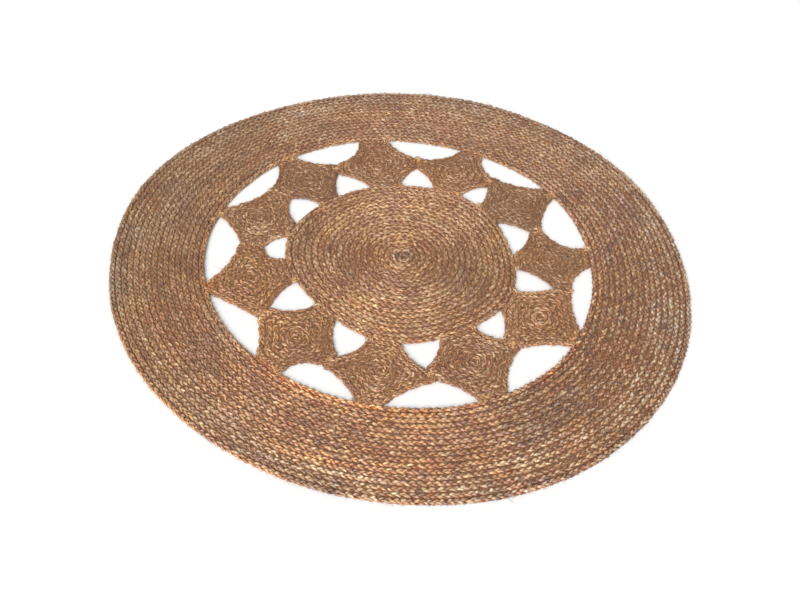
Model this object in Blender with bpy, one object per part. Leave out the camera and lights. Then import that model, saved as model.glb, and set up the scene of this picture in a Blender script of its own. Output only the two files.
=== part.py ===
"""A round rug of braided jute, lying flat.

It is sewn together from three kinds of braided piece: a disc wound from the middle, eleven small
squares with hollow sides that stand on their corners round the disc, and a wide ring outside
them. The squares touch the disc, the ring and each other only near their corners, so a gap with
three corners is left between every two of them, both outside and inside. The edges waver a
little all round, because the braid is wound and sewn by hand.

Units are metres with +Z up. The origin is the middle of the disc, on the underside.
Angles are in degrees, anticlockwise from +X.
"""

import math
from typing import NamedTuple

import bpy

# Driving dimensions
RUG_RADIUS = 0.600  # mean radius of the outer edge
BRAID_WIDTH = 0.012  # one row of braid
RING_ROWS = 16.5
DISC_ROWS = 19.8
THICKNESS = 0.009
EDGE_ROUNDING = 0.0035  # radius of the rounded top and bottom edges
SEWN_GAP = 0.0003  # between two pieces that are sewn together

RING_INNER_RADIUS = RUG_RADIUS - RING_ROWS * BRAID_WIDTH
DISC_RADIUS = DISC_ROWS * BRAID_WIDTH

# How finely the outlines are drawn
OUTER_POINTS = 120
RING_INNER_POINTS = 120
DISC_POINTS = 84
SIDE_POINTS = 5  # along one hollow side of a square
CONTACT_POINTS = 5  # along one sewn stretch of a square
EDGE_SEGMENTS = 2  # across a quarter of a rounded edge

CORNER_SETBACK = 0.005  # where a square's side starts to turn into its corner
CORNER_SHARE = 0.3  # the most of a short side that one of its corners takes

JUTE_ROUGHNESS = 0.85


class Wave(NamedTuple):
    """A waver of a hand-sewn edge that repeats evenly round it."""

    per_turn: int  # crests in one turn
    height: float  # metres, above the mean radius
    crest: float  # degrees, where one crest stands


OUTER_WAVES = (
    Wave(per_turn=1, height=0.0051, crest=9),
    Wave(per_turn=2, height=0.0020, crest=26),
    Wave(per_turn=3, height=0.0062, crest=54),
    Wave(per_turn=4, height=0.0012, crest=63),
    Wave(per_turn=5, height=0.0012, crest=18),
    Wave(per_turn=6, height=0.0010, crest=36),
    Wave(per_turn=8, height=0.0007, crest=32),
)
RING_INNER_WAVES = (
    Wave(per_turn=1, height=0.0037, crest=171),
    Wave(per_turn=2, height=0.0024, crest=12),
    Wave(per_turn=3, height=0.0022, crest=62),
    Wave(per_turn=4, height=0.0024, crest=38),
    Wave(per_turn=5, height=0.0011, crest=39),
)
DISC_WAVES = (
    Wave(per_turn=2, height=0.0022, crest=176),
    Wave(per_turn=3, height=0.0050, crest=52),
    Wave(per_turn=4, height=0.0038, crest=78),
    Wave(per_turn=5, height=0.0034, crest=48),
)


class Gap(NamedTuple):
    """An open place between two squares, with two corners on a round edge and one tip.

    The tip is where the two squares meet. Each side bows into the square that it borders.
    """

    start: float  # degrees, first corner on the round edge
    end: float  # degrees, second corner on the round edge
    tip: float  # degrees
    tip_radius: float  # metres from the middle of the rug
    start_bow: float  # metres, of the side from the first corner
    end_bow: float  # metres, of the side from the second corner


# Columns of both tables: start, end, tip, tip_radius, start_bow, end_bow
# Between the squares and the ring, anticlockwise
OUTER_GAPS = (
    Gap(11.4, 36.4, 23.2, 0.320, 0.021, 0.010),
    Gap(41.5, 66.2, 58.4, 0.347, 0.012, 0.009),
    Gap(73.8, 99.4, 88.5, 0.337, 0.018, 0.010),
    Gap(109.0, 132.8, 121.1, 0.335, 0.016, 0.011),
    Gap(139.2, 166.0, 151.0, 0.354, 0.010, 0.010),
    Gap(169.8, 198.6, 180.5, 0.344, 0.006, 0.013),
    Gap(203.2, 230.4, 218.0, 0.345, 0.004, 0.006),
    Gap(239.2, 261.3, 247.0, 0.343, 0.016, 0.009),
    Gap(268.4, 294.3, 284.9, 0.338, 0.009, 0.008),
    Gap(302.7, 329.0, 317.4, 0.331, 0.011, 0.007),
    Gap(335.6, 363.5, 350.9, 0.355, 0.007, 0.012),
)
# Between the squares and the disc, each inside the outer gap of the same place in the list
INNER_GAPS = (
    Gap(9.7, 34.9, 23.4, 0.291, 0.009, 0.007),
    Gap(50.0, 62.6, 55.9, 0.311, 0.005, 0.008),
    Gap(77.0, 95.8, 88.0, 0.300, 0.008, 0.007),
    Gap(112.2, 131.9, 123.6, 0.301, 0.009, 0.006),
    Gap(144.0, 163.4, 150.0, 0.299, 0.009, 0.011),
    Gap(173.8, 189.3, 182.5, 0.291, 0.008, 0.016),
    Gap(206.0, 225.1, 216.0, 0.311, 0.008, 0.013),
    Gap(238.7, 257.6, 250.2, 0.307, 0.009, 0.010),
    Gap(272.8, 291.2, 281.6, 0.305, 0.008, 0.008),
    Gap(310.2, 328.0, 315.4, 0.292, 0.007, 0.006),
    Gap(343.2, 359.1, 350.5, 0.318, 0.006, 0.010),
)

# Jute colours (linear red, green, blue)
JUTE_COLOURS = {
    "outer_ring": (0.351, 0.195, 0.112),
    "centre_disc": (0.381, 0.207, 0.114),
    "square": (0.348, 0.187, 0.107),
}


def edge_radius(mean_radius, waves, angle):
    """Radius of a wavering round edge at an angle in degrees."""
    return mean_radius + sum(
        wave.height * math.cos(math.radians(wave.per_turn * (angle - wave.crest)))
        for wave in waves
    )


def at(angle, radius):
    """The point at this angle and radius."""
    turn = math.radians(angle)
    return (radius * math.cos(turn), radius * math.sin(turn))


def round_edge(mean_radius, waves, count):
    """A whole wavering edge, as evenly spaced points."""
    angles = [360 * i / count for i in range(count)]
    return [at(angle, edge_radius(mean_radius, waves, angle)) for angle in angles]


def between(first, last, share):
    """The point at this share of the straight way from first to last."""
    return tuple(a + (b - a) * share for a, b in zip(first, last))


def to_left(first, last):
    """The unit vector to the left of the way from first to last."""
    length = math.dist(first, last)
    return ((first[1] - last[1]) / length, (last[0] - first[0]) / length)


def bowed_side(first, last, bow):
    """Points from first to last along a shallow arc that bows to the left of that way."""
    left = to_left(first, last)
    points = []
    for i in range(SIDE_POINTS):
        share = i / (SIDE_POINTS - 1)
        rise = 4 * bow * share * (1 - share)
        x, y = between(first, last, share)
        points.append((x + left[0] * rise, y + left[1] * rise))
    return points


def along_edge(mean_radius, waves, first_angle, last_angle):
    """Points along a stretch of a wavering round edge."""
    angles = [
        first_angle + (last_angle - first_angle) * i / (CONTACT_POINTS - 1)
        for i in range(CONTACT_POINTS)
    ]
    return [at(angle, edge_radius(mean_radius, waves, angle)) for angle in angles]


def seam(outer_tip, inner_tip, side):
    """The sewn line between two squares, moved half a gap to one side of its own way inwards."""
    left = to_left(outer_tip, inner_tip)
    shift = side * SEWN_GAP / 2
    return [(x + left[0] * shift, y + left[1] * shift) for x, y in (outer_tip, inner_tip)]


def trimmed(points, setback):
    """The polyline with this length taken off each end."""
    for _ in range(2):
        left_over = setback
        while math.dist(points[0], points[1]) <= left_over:
            left_over -= math.dist(points[0], points[1])
            points = points[1:]
        share = left_over / math.dist(points[0], points[1])
        points = [between(points[0], points[1], share)] + points[1:]
        points = points[::-1]
    return points


def without_corners(run):
    """The run without the stretch at each end that its corner takes."""
    return trimmed(run, min(CORNER_SETBACK, CORNER_SHARE * math.dist(run[0], run[-1])))


def with_soft_corners(runs):
    """One closed outline of these runs, each corner between two runs turned into a curve."""
    outline = []
    for run, following in zip(runs, runs[1:] + runs[:1]):
        kept, next_kept = without_corners(run), without_corners(following)
        corner = between(run[-1], following[0], 0.5)
        towards = between(kept[-1], corner, 0.5)
        away = between(corner, next_kept[0], 0.5)
        outline += kept + [between(towards, away, 0.5)]
    return outline


def square_outline(outer_before, outer_after, inner_before, inner_after):
    """Outline of the square between two neighbouring pairs of gaps, anticlockwise."""
    ring_radius = RING_INNER_RADIUS - SEWN_GAP
    disc_radius = DISC_RADIUS + SEWN_GAP
    on_ring = along_edge(
        ring_radius, RING_INNER_WAVES, outer_before.end, outer_after.start
    )
    on_disc = along_edge(
        disc_radius, DISC_WAVES, inner_after.start, inner_before.end
    )
    seam_after = seam(
        at(outer_after.tip, outer_after.tip_radius),
        at(inner_after.tip, inner_after.tip_radius),
        side=1,
    )
    seam_before = seam(
        at(outer_before.tip, outer_before.tip_radius),
        at(inner_before.tip, inner_before.tip_radius),
        side=-1,
    )[::-1]
    return with_soft_corners(
        [
            on_ring,
            bowed_side(on_ring[-1], seam_after[0], outer_after.start_bow),
            seam_after,
            bowed_side(seam_after[-1], on_disc[0], inner_after.start_bow),
            on_disc,
            bowed_side(on_disc[-1], seam_before[0], inner_before.end_bow),
            seam_before,
            bowed_side(seam_before[-1], on_ring[0], outer_before.end_bow),
        ]
    )


def jute(name, colour):
    """A plain dull jute finish."""
    material = bpy.data.materials.new(name)
    material.use_nodes = True
    shader = material.node_tree.nodes["Principled BSDF"]
    shader.inputs["Base Color"].default_value = (*colour, 1)
    shader.inputs["Roughness"].default_value = JUTE_ROUGHNESS
    shader.inputs["Metallic"].default_value = 0
    material.diffuse_color = (*colour, 1)
    return material


def flat_piece(name, outlines, colour, collection):
    """A plate of braid on the floor with rounded edges, from its outline and any hole's."""
    curve = bpy.data.curves.new(name, "CURVE")
    curve.dimensions = "2D"
    curve.fill_mode = "BOTH"
    curve.extrude = THICKNESS / 2 - EDGE_ROUNDING
    curve.bevel_depth = EDGE_ROUNDING
    curve.bevel_resolution = EDGE_SEGMENTS - 1
    curve.offset = -EDGE_ROUNDING
    for outline in outlines:
        spline = curve.splines.new("POLY")
        spline.points.add(len(outline) - 1)
        for point, (x, y) in zip(spline.points, outline):
            point.co = (x, y, 0, 1)
        spline.use_cyclic_u = True
    curve.materials.append(jute(name, colour))
    piece = bpy.data.objects.new(name, curve)
    piece.location.z = THICKNESS / 2
    collection.objects.link(piece)
    return piece


def build():
    """Clears the scene and makes the rug."""
    for leftover in list(bpy.data.objects):
        bpy.data.objects.remove(leftover)
    rug = bpy.data.collections.new("round_jute_rug")
    bpy.context.scene.collection.children.link(rug)

    flat_piece(
        "outer_ring",
        [
            round_edge(RUG_RADIUS, OUTER_WAVES, OUTER_POINTS),
            round_edge(RING_INNER_RADIUS, RING_INNER_WAVES, RING_INNER_POINTS),
        ],
        JUTE_COLOURS["outer_ring"],
        rug,
    )
    flat_piece(
        "centre_disc",
        [round_edge(DISC_RADIUS, DISC_WAVES, DISC_POINTS)],
        JUTE_COLOURS["centre_disc"],
        rug,
    )
    for i in range(len(OUTER_GAPS)):
        before, after = i, (i + 1) % len(OUTER_GAPS)
        turned = 360 if after < before else 0
        outline = square_outline(
            OUTER_GAPS[before],
            turned_on(OUTER_GAPS[after], turned),
            INNER_GAPS[before],
            turned_on(INNER_GAPS[after], turned),
        )
        flat_piece(f"square_{i + 1:02d}", [outline], JUTE_COLOURS["square"], rug)


def turned_on(gap, angle):
    """The same gap with its angles counted on by this much."""
    return gap._replace(start=gap.start + angle, end=gap.end + angle, tip=gap.tip + angle)


build()
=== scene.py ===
"""Looks of a round rug of braided jute: three-strand braid wound into a ring, a disc and eleven squares."""

import logging
from dataclasses import dataclass
from enum import Enum
from typing import NamedTuple

import bpy
import numpy as np
from mathutils import Matrix, Vector


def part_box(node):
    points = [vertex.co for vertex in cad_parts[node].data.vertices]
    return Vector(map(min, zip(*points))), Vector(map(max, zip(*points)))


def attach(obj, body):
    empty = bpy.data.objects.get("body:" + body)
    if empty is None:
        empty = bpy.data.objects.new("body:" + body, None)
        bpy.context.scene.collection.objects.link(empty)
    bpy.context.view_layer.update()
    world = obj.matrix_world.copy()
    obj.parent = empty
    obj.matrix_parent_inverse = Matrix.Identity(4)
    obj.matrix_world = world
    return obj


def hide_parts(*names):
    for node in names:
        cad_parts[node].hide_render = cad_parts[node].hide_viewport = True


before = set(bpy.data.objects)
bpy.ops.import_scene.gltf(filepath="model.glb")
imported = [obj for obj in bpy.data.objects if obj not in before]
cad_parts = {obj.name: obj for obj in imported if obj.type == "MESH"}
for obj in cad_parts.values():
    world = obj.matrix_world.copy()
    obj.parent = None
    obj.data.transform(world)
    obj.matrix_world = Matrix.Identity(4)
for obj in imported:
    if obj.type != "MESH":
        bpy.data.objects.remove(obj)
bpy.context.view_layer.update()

LOG = logging.getLogger("jute_rug")
BODY = "root"
TAU = 2 * np.pi
MM = 0.001
RUG_RADIUS = 0.600
BRAID_WIDTH = 12 * MM
MID_HEIGHT = 4.5 * MM
COLOUR_LAYER = "Jute"
STRAND_MAP = "Strand"
BAKE_MAP = "OFBake"
Colour = tuple[float, float, float]
Range = tuple[float, float]
# The upright side faces of a CAD solid reach this far to either side of its mid-height.
SIDE_FACES = 1.2 * MM

# Powers of brightness for red, green and blue: of the yarn's own tone, and of the shade of the braid's form.
TONE_POWERS = np.array([1.0, 1.50, 1.85])
FORM_POWERS = np.array([1.0, 2.35, 3.95])
# What one unit of warmth, of lime and of dark fleck adds to the exponents of red, green and blue.
WARM = np.array([0.0, -0.31, -0.95])
LIME = np.array([0.0, 0.93, -0.36])
FLECK = np.array([-1.0, -1.12, -1.05])
# At the open sides of a piece the painted groove shade is taken off and a creamy painted light put on, this
# far in and up to this height.
RIM_PAINTED_LIGHT = np.array([1.45, 1.68, 1.85])
RIM_REACH = 3.0 * MM
RIM_TOP = 6.5 * MM
RIM_FADE = 2 * MM
# Patches of golden thread colour where two pieces are sewn together.
SEAM_GOLD = (1.34, 1.22, 0.85)
SEAM_LENGTH, SEAM_WIDTH = 8 * MM, 12 * MM
# The layer of inner turns stands back from the outline, but meets the pieces that are sewn on.
LAYER_INSET = 3.0 * MM
LAYER_BASE = 2.6 * MM
LAYER_HOLE = 0.4 * MM
CONTACT_REACH = 8.0 * MM
CONTACT_GAP = 2 * MM
CONTACT_OVERLAP = 0.3 * MM
# Its upper and its lower face have this many points across, and bend in by these heights at the edges.
LAYER_POINTS = 9
LAYER_TOP_BEND, LAYER_BASE_BEND = 1.5 * MM, 1.4 * MM


class Slot(Enum):
    """Material slot names of the record, one for each kind of part."""

    RING = "ring_jute"
    DISC = "disc_jute"
    SQUARE = "square_jute"


# ---------------------------------------------------------------- small shared formulas


def eased(share: np.ndarray) -> np.ndarray:
    """Goes smoothly from 0 to 1 as share does: three times its square less twice its cube."""
    share = np.clip(share, 0.0, 1.0)
    return share * share * (3 - 2 * share)


def hump(value: np.ndarray, middle: float, width: float) -> np.ndarray:
    """A bell curve of height 1 about the middle."""
    return np.exp(-(((value - middle) / width) ** 2))


def unit(vectors: np.ndarray) -> np.ndarray:
    """The same directions with length 1."""
    return vectors / np.maximum(np.linalg.norm(vectors, axis=-1, keepdims=True), 1e-12)


def leftwards(vectors: np.ndarray) -> np.ndarray:
    """The same flat directions turned a quarter to the left."""
    return np.stack([-vectors[..., 1], vectors[..., 0]], -1)


def polar(points: np.ndarray) -> tuple[np.ndarray, np.ndarray]:
    """Directions and distances of points from the origin, as seen from above."""
    return np.arctan2(points[..., 1], points[..., 0]), np.linalg.norm(points[..., :2], axis=-1)


def on_circle(angle: np.ndarray, radius: np.ndarray) -> np.ndarray:
    """Points at these angles and radii about the origin."""
    return np.stack([np.cos(angle) * radius, np.sin(angle) * radius], -1)


def raised(flat: np.ndarray, height: np.ndarray) -> np.ndarray:
    """Flat points lifted to these heights."""
    return np.concatenate([flat, height[..., None]], -1)


def blended(share: np.ndarray, colour: Colour | np.ndarray) -> np.ndarray:
    """Colour multipliers that go from 1 to the colour as the share goes from 0 to 1."""
    return 1 + share[..., None] * (np.array(colour) - 1)


def shaded(brightness: np.ndarray, warmth: np.ndarray) -> np.ndarray:
    """Colour multipliers of a brightness and a warmth, both given as exponents."""
    return np.exp(brightness[..., None] + warmth[..., None] * WARM)


class Drift(NamedTuple):
    """Smooth random values along a length: a normal random number at every spacing, eased between them."""

    strength: float
    spacing: float

    def at(self, rng: np.random.Generator, along: np.ndarray) -> np.ndarray:
        """Draws the values.

        Args:
            rng: seeded source of random numbers.
            along: places along the length, in metres, from zero up.

        Returns:
            One value for each place, of mean 0 and a spread about the strength.
        """
        place = along / self.spacing
        values = rng.normal(size=int(place.max()) + 3)
        knot = place.astype(int)
        blend = eased(place - knot)
        return self.strength * (values[knot] * (1 - blend) + values[knot + 1] * blend)


class Patches(NamedTuple):
    """Smooth random values over the floor: a normal random number at each corner of a grid, eased between."""

    strength: float
    spacing: float

    def at(self, rng: np.random.Generator, points: np.ndarray) -> np.ndarray:
        """Draws the values.

        Args:
            rng: seeded source of random numbers.
            points: places, of which the first two coordinates are read.

        Returns:
            One value for each place, of mean 0 and a spread under the strength.
        """
        place = (points[..., :2] + 2 * RUG_RADIUS) / self.spacing
        knot = place.astype(int)
        blend = eased(place - knot)
        values = rng.normal(size=(int(4 * RUG_RADIUS / self.spacing) + 2,) * 2)
        (column, row), (right, up) = np.moveaxis(knot, -1, 0), np.moveaxis(blend, -1, 0)
        near = values[column, row] * (1 - right) + values[column + 1, row] * right
        far = values[column, row + 1] * (1 - right) + values[column + 1, row + 1] * right
        return self.strength * (near * (1 - up) + far * up)


def layered(layers: tuple, rng: np.random.Generator, places: np.ndarray) -> np.ndarray:
    """The sum of several layers of drift or patches, drawn in their order."""
    return sum(layer.at(rng, places) for layer in layers)


class Waves(NamedTuple):
    """A slow change round the rug: a constant, then one and two waves to the turn, as cosines and sines."""

    constant: float = 0.0
    cosine: float = 0.0
    sine: float = 0.0
    cosine_two: float = 0.0
    sine_two: float = 0.0

    def at(self, angle: np.ndarray) -> np.ndarray:
        """The waves' sum in these directions."""
        once = self.cosine * np.cos(angle) + self.sine * np.sin(angle)
        return self.constant + once + self.cosine_two * np.cos(2 * angle) + self.sine_two * np.sin(2 * angle)


# ---------------------------------------------------------------- outlines read from the CAD nodes


@dataclass(frozen=True)
class Outline:
    """A closed outline round a centre, as a radius for each direction.

    Its side is 1 where the braid lies inside the outline, and -1 where it lies outside.
    """

    centre: np.ndarray
    angles: np.ndarray
    radii: np.ndarray
    side: int = 1

    @classmethod
    def of_node(
        cls, node: str, centre: np.ndarray, nearest: float = 0.0, furthest: float = 9.0, side: int = 1
    ) -> "Outline":
        """Reads the outline that the upright side faces of a CAD node follow.

        Args:
            node: name of the CAD node.
            centre: the point that the radii are measured from.
            nearest: vertices nearer to the centre than this are left out.
            furthest: vertices further from it than this are left out.
            side: 1 where the braid lies inside the outline, and -1 where it lies outside.

        Returns:
            The outline.
        """
        points = np.array([vertex.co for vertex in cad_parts[node].data.vertices])
        upright = np.abs(points[:, 2] - MID_HEIGHT) < SIDE_FACES
        angle, distance = polar(points[upright, :2] - centre)
        kept = (distance > nearest) & (distance < furthest)
        angle = angle[kept] % TAU
        order = np.argsort(angle)
        return cls(centre, angle[order], distance[kept][order], side)

    def at(self, angle: np.ndarray) -> np.ndarray:
        """The radius in each direction, read between the outline's points all the way round."""
        return np.interp(angle % TAU, self.angles, self.radii, period=TAU)

    def points(self, angle: np.ndarray, inset: np.ndarray | float = 0.0) -> np.ndarray:
        """The outline's points in these directions, drawn back into the braid by the inset."""
        return self.centre + on_circle(angle, self.at(angle) - self.side * inset)

    def gap_from(self, points: np.ndarray) -> np.ndarray:
        """Distance of points from the outline, measured towards its centre."""
        angle, distance = polar(points - self.centre)
        return np.abs(self.at(angle) - distance)

    def rim_painted_light(self, points: np.ndarray, groove: np.ndarray) -> np.ndarray:
        """Colour multipliers of painted light at the open side: they take off the painted groove shade and
        paint the rim creamy and brighter.

        Args:
            points: places on the piece.
            groove: brightness of the painted groove shade at the points, which the multipliers undo.

        Returns:
            Multipliers: the rim's painted light at the outline below its top, easing to 1 inwards and
                upwards.
        """
        near = eased(1 - self.gap_from(points[..., :2]) / RIM_REACH)
        low = eased((RIM_TOP - points[..., 2]) / RIM_FADE)
        return blended(near * low, RIM_PAINTED_LIGHT / groove[..., None] ** FORM_POWERS)

    def tucked(self, angle: np.ndarray, around: list["Outline"]) -> np.ndarray:
        """Points of the inner turns' edge: inside the braid, but past the outline where a piece is near.

        Args:
            angle: directions, in radians.
            around: outlines of the pieces that this one is sewn to.

        Returns:
            The edge's points in these directions.
        """
        edge = self.points(angle)
        gap = np.min([other.gap_from(edge) for other in around], axis=0)
        near = eased((CONTACT_REACH - gap) / (CONTACT_REACH - CONTACT_GAP))
        return self.points(angle, LAYER_INSET - (LAYER_INSET + CONTACT_OVERLAP) * near)

    def corner(self, towards: float, reach: float = 0.6) -> float:
        """The direction of the outline's furthest point near a direction.

        Args:
            towards: direction to look in, in radians.
            reach: how far to either side of it to look, in radians.

        Returns:
            The corner's direction, in radians.
        """
        looked_at = towards + np.linspace(-reach, reach, 241)
        return float(looked_at[np.argmax(self.at(looked_at))])


# ---------------------------------------------------------------- tubes, meshes and objects


@dataclass
class TubeBatch:
    """Closed tubes of equal point counts: places and colours by tube, ring and side."""

    places: np.ndarray
    colours: np.ndarray
    along: np.ndarray
    girth: float

    @classmethod
    def round_paths(
        cls, paths: np.ndarray, width: np.ndarray, height: np.ndarray, sides: int
    ) -> "TubeBatch":
        """Carries an ellipse along each path.

        A ring's point is the path's point plus the sideways direction times the width times the cosine, plus
        the upward direction times the height times the sine, with the seam of the ring underneath.

        Args:
            paths: centre points by tube and ring.
            width: half-widths by tube and ring.
            height: half-heights by tube and ring.
            sides: points in a ring.

        Returns:
            The tubes, not yet coloured.
        """
        tangent = unit(np.gradient(paths, axis=1))
        sideways = unit(np.cross(np.array([0.0, 0.0, 1.0]), tangent))
        upward = np.cross(tangent, sideways)
        turn = -np.pi / 2 + TAU * np.arange(sides) / sides
        places = (
            paths[:, :, None]
            + sideways[:, :, None] * (width[..., None, None] * np.cos(turn)[:, None])
            + upward[:, :, None] * (height[..., None, None] * np.sin(turn)[:, None])
        )
        steps = np.linalg.norm(np.diff(paths, axis=1), axis=2)
        along = np.concatenate([np.zeros((len(paths), 1)), np.cumsum(steps, axis=1)], 1)
        girth = float(np.pi * (width.mean() + height.mean()))
        return cls(places, np.ones_like(places), along, girth)

    def cut(self, first: int, last: int) -> "TubeBatch":
        """The same tubes from one ring to another."""
        part = slice(first, last + 1)
        return TubeBatch(self.places[:, part], self.colours[:, part], self.along[:, part], self.girth)

    def mesh(self, name: str) -> bpy.types.Mesh:
        """Makes one mesh of the tubes, with a cap on each end, two UV maps, and its colours at its points.

        Args:
            name: the mesh's name.

        Returns:
            The mesh.
        """
        tubes, rings, sides = self.places.shape[:3]
        index = np.arange(tubes * rings * sides).reshape(tubes, rings, sides)
        near, far = index[:, :-1], index[:, 1:]
        bands = np.stack([near, np.roll(near, -1, 2), np.roll(far, -1, 2), far], -1)
        caps = np.stack([index[:, 0, ::-1], index[:, -1]], 1)
        corners = np.concatenate([bands.reshape(-1), caps.reshape(-1)]).astype(np.int32)
        cap_starts = bands.size + np.arange(tubes * 2) * sides
        starts = np.concatenate([np.arange(0, bands.size, 4), cap_starts]).astype(np.int32)
        mesh = bpy.data.meshes.new(name)
        mesh.vertices.add(index.size)
        mesh.vertices.foreach_set("co", self.places.reshape(-1).astype(np.float32))
        mesh.loops.add(len(corners))
        mesh.loops.foreach_set("vertex_index", corners)
        mesh.polygons.add(len(starts))
        mesh.polygons.foreach_set("loop_start", starts)
        mesh.polygons.foreach_set("use_smooth", np.ones(len(starts), bool))
        mesh.update(calc_edges=True)
        for title, uv in ((STRAND_MAP, self.strand_map()), (BAKE_MAP, self.bake_map())):
            layer = mesh.uv_layers.new(name=title)
            layer.data.foreach_set("uv", uv.reshape(-1).astype(np.float32))
        colours = raised(self.colours, np.ones(self.colours.shape[:3]))
        layer = mesh.color_attributes.new(COLOUR_LAYER, "FLOAT_COLOR", "POINT")
        layer.data.foreach_set("color", colours.reshape(-1).astype(np.float32))
        mesh.validate()
        return mesh

    def corners_of_bands(self) -> tuple[np.ndarray, np.ndarray, np.ndarray]:
        """Lists the corners of a tube's four-sided faces and of its caps, in the mesh's order.

        Returns:
            The ring of each face corner, how far round it is in parts of a turn, and the same for both caps.
        """
        _, rings, sides = self.places.shape[:3]
        band, side = np.meshgrid(np.arange(rings - 1), np.arange(sides), indexing="ij")
        ring = np.stack([band, band, band + 1, band + 1], -1)
        round_it = np.stack([side, side + 1, side + 1, side], -1) / sides
        fan = np.arange(sides) / sides
        return ring, round_it, np.stack([fan[::-1], fan])

    def strand_map(self) -> np.ndarray:
        """Runs along each tube in metres and once round it.

        Returns:
            The map, bands first and then caps, in the mesh's order of corners.
        """
        ring, round_it, cap_round = self.corners_of_bands()
        length = self.along[:, ring]
        cap_length = np.repeat(self.along[:, [0, -1], None], cap_round.shape[1], 2)
        pairs = ((length, round_it), (cap_length, cap_round))
        maps = [raised(first[..., None], np.broadcast_to(second, first.shape)) for first, second in pairs]
        return np.concatenate([part.reshape(-1, 2) for part in maps])

    def bake_map(
        self,
        gutter: float = 0.06,
        cap: Range = (0.38, 0.18),
        cap_middles: Range = (0.28, 0.72),
    ) -> np.ndarray:
        """Lays each band between two rings as a cell of its own, with one more cell for a tube's two caps.

        Args:
            gutter: the part of a cell that is left free below and above its band.
            cap: half-width and half-height of a cap, in parts of its cell.
            cap_middles: how far up its cell the middle of each cap is, in parts of the cell.

        Returns:
            The map, bands first and then caps, in the mesh's order of corners.
        """
        tubes, rings = self.places.shape[:2]
        ring, round_it, cap_round = self.corners_of_bands()
        step = (self.along[:, -1] - self.along[:, 0]).mean() / (rings - 1)
        columns = max(1, int(np.ceil(np.sqrt(tubes * rings * self.girth / step))))
        rows = int(np.ceil(tubes * rings / columns))
        first_cell = np.arange(tubes) * rings
        cell = first_cell[:, None, None, None] + ring[..., :1]
        across = cell % columns + (ring - ring[..., :1])
        up = cell // columns + gutter + (1 - 2 * gutter) * round_it
        cap_cell = first_cell[:, None, None] + rings - 1
        spin = TAU * cap_round * np.array([[-1], [1]])
        middle = np.array(cap_middles)[:, None]
        cap_across = cap_cell % columns + 0.5 + cap[0] * np.cos(spin)
        cap_up = cap_cell // columns + middle + cap[1] * np.sin(spin)
        across = np.concatenate([across.reshape(-1), cap_across.reshape(-1)]) / columns
        return raised(across[:, None], np.concatenate([up.reshape(-1), cap_up.reshape(-1)]) / rows)


def layer_mesh(name: str, near: np.ndarray, far: np.ndarray, top: float) -> bpy.types.Mesh:
    """Makes the flat inner layer of a part: a closed band between two outlines with rounded edges.

    A point's place is between the inner and outer outline by its share. Directions run round the part, and
    the profile runs outwards over the top and back underneath.

    Args:
        name: the mesh's name.
        near: the inner outline's points, by direction.
        far: the outer outline's points, by direction.
        top: height of its upper face, in metres.

    Returns:
        The mesh.
    """
    outwards = np.linspace(0, 1, LAYER_POINTS)
    share = np.concatenate([outwards, outwards[::-1]])
    height = np.repeat([top, LAYER_BASE], LAYER_POINTS)
    height[[0, LAYER_POINTS - 1]] -= LAYER_TOP_BEND
    height[[LAYER_POINTS, -1]] += LAYER_BASE_BEND
    flat = near[:, None] + (far - near)[:, None] * share[None, :, None]
    places = raised(flat, np.broadcast_to(height, flat.shape[:2]))
    index = np.arange(places.size // 3).reshape(places.shape[:2])
    after, over = np.roll(index, -1, 0), np.roll(index, -1, 1)
    quads = np.stack([index, over, np.roll(after, -1, 1), after], -1).reshape(-1, 4)
    mesh = bpy.data.meshes.new(name)
    mesh.from_pydata(places.reshape(-1, 3).tolist(), [], quads.tolist())
    mesh.update()
    return mesh


def placed(name: str, data: bpy.types.ID) -> bpy.types.Object:
    """Puts a new object in the scene.

    Args:
        name: its name.
        data: its mesh, camera or lamp.

    Returns:
        The object, at the origin.
    """
    made = bpy.data.objects.new(name, data)
    bpy.context.scene.collection.objects.link(made)
    return made


def add_piece(mesh: bpy.types.Mesh, material: bpy.types.Material) -> bpy.types.Object:
    """Puts a mesh in the scene as a piece that rides with the rug.

    Args:
        mesh: the piece's mesh, which gives it its name.
        material: its finish.

    Returns:
        The new object, at the origin.
    """
    mesh.materials.append(material)
    piece = placed(mesh.name, mesh)
    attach(piece, BODY)
    LOG.info("%s: %d faces", piece.name, len(mesh.polygons))
    return piece


# ---------------------------------------------------------------- finishes


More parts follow.
